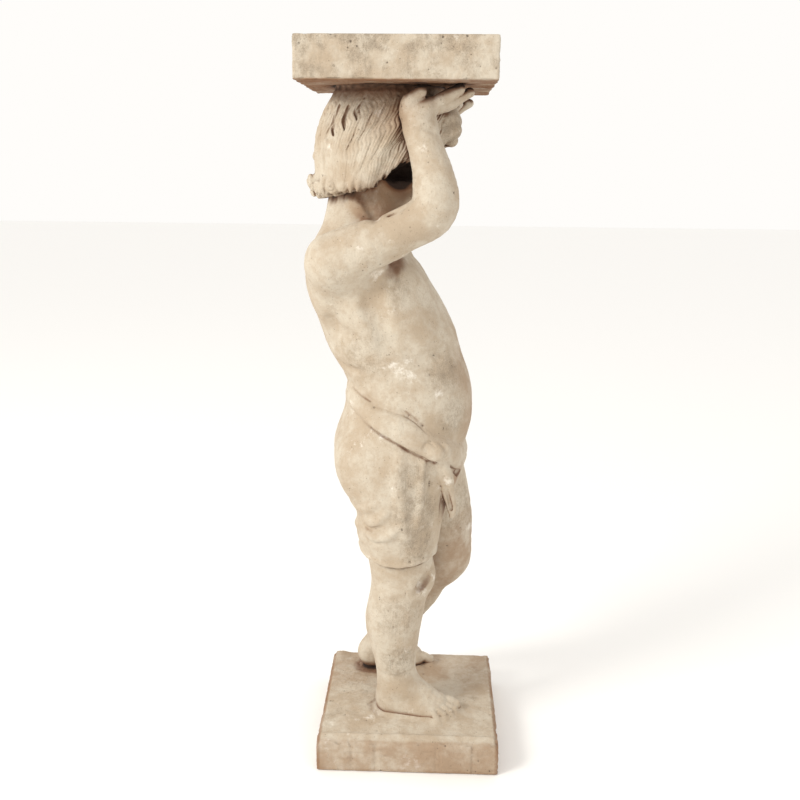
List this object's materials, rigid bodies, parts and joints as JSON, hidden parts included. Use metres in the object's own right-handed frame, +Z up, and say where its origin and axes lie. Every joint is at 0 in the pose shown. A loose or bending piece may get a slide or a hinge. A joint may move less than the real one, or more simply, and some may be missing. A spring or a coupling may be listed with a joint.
{
  "type": "cherub statue",
  "caption": "Standing child figure in a knotted wrap that carries a square block on its head and raised hands, cast in one with its square plinth.",
  "frame": {"origin": "middle of the plinth's flat underside, which stands on the floor", "axes": "+X the way the figure faces, +Y to the figure's left, +Z up through the carried block"},
  "size_m": [0.339, 0.3115, 1.2],
  "materials": {
    "aged_plaster": "matt, weathered"
  },
  "bodies": {
    "root": {"cherub_statue": "aged_plaster"}
  },
  "joints": []
}
